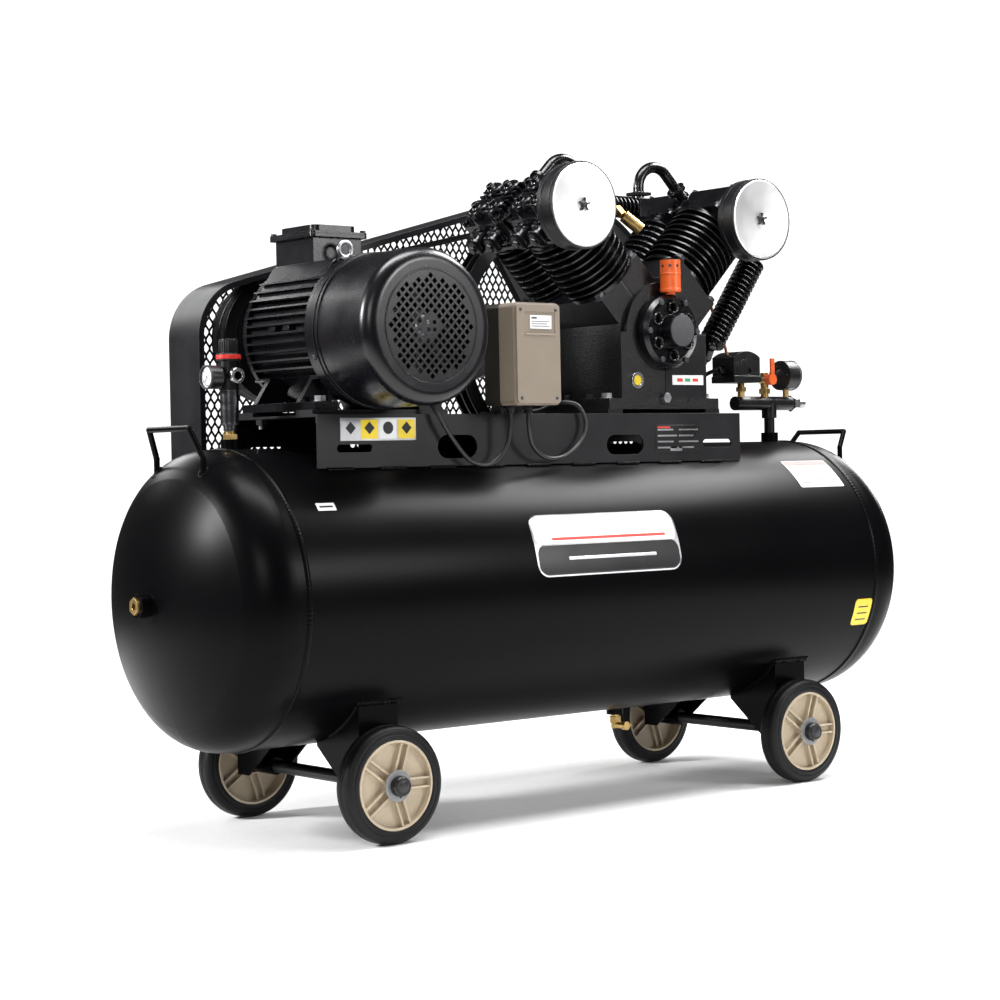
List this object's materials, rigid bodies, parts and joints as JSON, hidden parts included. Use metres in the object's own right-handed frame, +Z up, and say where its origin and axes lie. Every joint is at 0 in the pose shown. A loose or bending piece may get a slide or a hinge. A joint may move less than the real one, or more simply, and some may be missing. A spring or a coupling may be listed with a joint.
{
  "type": "belt-driven piston air compressor on a wheeled receiver",
  "caption": "Wheeled horizontal air receiver carrying a V piston pump with intake filters and coolers, an electric motor, a meshed belt guard, a starter and outlet fittings.",
  "frame": {"origin": "on the floor, midway between the ends of the receiver's drain fittings and midway between the fan cowl's front and the belt guard's back", "axes": "+Z up; +X along the receiver from the regulator end to the outlet manifold end; +Y from the motor's fan side to the belt guard"},
  "size_m": [1.67, 0.52, 1.1935],
  "materials": {
    "tank_paint": "satin black paint on welded steel",
    "axle_steel": "black finished steel",
    "rim_paint": "beige paint",
    "tyre_rubber": "matt solid rubber",
    "platform_paint": "satin black paint on bent sheet",
    "zinc_steel": "zinc plated",
    "motor_paint": "satin black paint",
    "winding": "varnished windings and laminations",
    "bright_steel": "brushed",
    "fan_plastic": "moulded",
    "pulley_iron": "painted casting",
    "belt_rubber": "matt",
    "guard_paint": "satin black paint",
    "crank_steel": "ground",
    "pump_iron": "black paint on cast iron",
    "orange_plastic": "moulded",
    "sight_frame": "bright ring round a yellow window",
    "piston_alloy": "machined",
    "filter_plastic": "moulded",
    "cooler_paint": "satin black paint",
    "brass": "machined",
    "box_plastic": "fine texture",
    "box_cover_plastic": "fine texture",
    "black_plastic": "moulded",
    "lead_rubber": "matt",
    "manifold_paint": "satin black paint",
    "red_plastic": "moulded",
    "tube_nylon": "brown",
    "orange_paint": "gloss",
    "gauge_case": "satin black",
    "needle_steel": "bright",
    "bowl_alloy": "satin"
  },
  "bodies": {
    "frame": {"tank_shell": "tank_paint", "tank_heads": "tank_paint", "tank_handles": "tank_paint", "leg_brackets": "tank_paint", "axles": "axle_steel", "platform": "platform_paint", "fasteners": "zinc_steel", "motor_housing": "motor_paint", "motor_end_shields": "motor_paint", "stator_core": "winding", "bearings": "bright_steel", "fan_cowl": "motor_paint", "terminal_box": "motor_paint", "terminal_lid": "motor_paint", "v_belts": "belt_rubber", "guard_band": "guard_paint", "guard_mesh": "guard_paint", "crankcase": "pump_iron", "bearing_cover": "pump_iron", "breather": "orange_plastic", "sight_glass": "sight_frame", "cylinders": "pump_iron", "pistons": "piston_alloy", "connecting_rods": "crank_steel", "cylinder_heads": "pump_iron", "filter_drums": "filter_plastic", "filter_faces": "bright_steel", "intercooler": "cooler_paint", "aftercooler": "cooler_paint", "brass_fittings": "brass", "starter_box": "box_plastic", "starter_cover": "box_cover_plastic", "cable_glands": "black_plastic", "motor_lead": "lead_rubber", "switch_lead": "lead_rubber", "manifold": "manifold_paint", "pressure_switch": "black_plastic", "unloader_tube": "tube_nylon", "gauges": "gauge_case", "regulator_body": "manifold_paint", "regulator_bowl": "bowl_alloy"},
    "wheel_front_left": {"rim_front_left": "rim_paint", "tyre_front_left": "tyre_rubber"},
    "wheel_rear_left": {"rim_rear_left": "rim_paint", "tyre_rear_left": "tyre_rubber"},
    "wheel_front_right": {"rim_front_right": "rim_paint", "tyre_front_right": "tyre_rubber"},
    "wheel_rear_right": {"rim_rear_right": "rim_paint", "tyre_rear_right": "tyre_rubber"},
    "motor_rotor": {"rotor_shaft": "bright_steel", "motor_fan": "fan_plastic", "motor_pulley": "pulley_iron"},
    "crank": {"crankshaft": "crank_steel", "flywheel": "pulley_iron"},
    "cock_lever": {"valve_lever": "orange_paint"},
    "switch_lever": {"switch_lever": "red_plastic"},
    "tank_gauge_needle": {"needle_tank": "needle_steel"},
    "outlet_gauge_needle": {"needle_outlet": "needle_steel"},
    "pressure_knob": {"regulator_knob": "black_plastic"},
    "drain_handle": {"drain_tap": "brass"}
  },
  "joints": [
    {"name": "wheel_front_left_spin", "type": "hinge", "parent": "frame", "child": "wheel_front_left", "pos_m": [-0.4875, -0.21, 0.0975], "axis": [0, 1, 0], "continuous": true},
    {"name": "wheel_rear_left_spin", "type": "hinge", "parent": "frame", "child": "wheel_rear_left", "pos_m": [-0.4875, 0.21, 0.0975], "axis": [0, 1, 0], "continuous": true},
    {"name": "wheel_front_right_spin", "type": "hinge", "parent": "frame", "child": "wheel_front_right", "pos_m": [0.4875, -0.21, 0.0975], "axis": [0, 1, 0], "continuous": true},
    {"name": "wheel_rear_right_spin", "type": "hinge", "parent": "frame", "child": "wheel_rear_right", "pos_m": [0.4875, 0.21, 0.0975], "axis": [0, 1, 0], "continuous": true},
    {"name": "crank_spin", "type": "hinge", "parent": "frame", "child": "crank", "pos_m": [0.228, 0, 0.855], "axis": [0, 1, 0], "continuous": true, "deforming": ["connecting_rods"]},
    {"name": "motor_spin", "type": "hinge", "parent": "frame", "child": "motor_rotor", "pos_m": [-0.42, 0, 0.844], "axis": [0, 1, 0], "continuous": true},
    {"name": "outlet_cock_turn", "type": "hinge", "parent": "frame", "child": "cock_lever", "pos_m": [0.622, -0.02, 0.774], "axis": [0, 1, 0], "range_deg": [0, 90]},
    {"name": "switch_turn", "type": "hinge", "parent": "frame", "child": "switch_lever", "pos_m": [0.583, -0.012, 0.795], "axis": [1, 0, 0], "range_deg": [0, 40]},
    {"name": "tank_gauge", "type": "hinge", "parent": "frame", "child": "tank_gauge_needle", "pos_m": [0.6955, 0, 0.783], "axis": [-1, 0, 0], "range_deg": [0, 270]},
    {"name": "outlet_gauge", "type": "hinge", "parent": "frame", "child": "outlet_gauge_needle", "pos_m": [-0.6872, 0, 0.769], "axis": [1, 0, 0], "range_deg": [0, 270]},
    {"name": "regulator_turn", "type": "hinge", "parent": "frame", "child": "pressure_knob", "pos_m": [-0.645, 0, 0.8], "axis": [0, 0, 1], "range_deg": [-180, 180]},
    {"name": "drain_turn", "type": "hinge", "parent": "frame", "child": "drain_handle", "pos_m": [0.2, -0.03, 0.118], "axis": [0, 1, 0], "range_deg": [0, 90]}
  ],
  "couplings": [
    {"joint": "motor_spin", "follows": "crank_spin", "ratio": 2.2264}
  ]
}
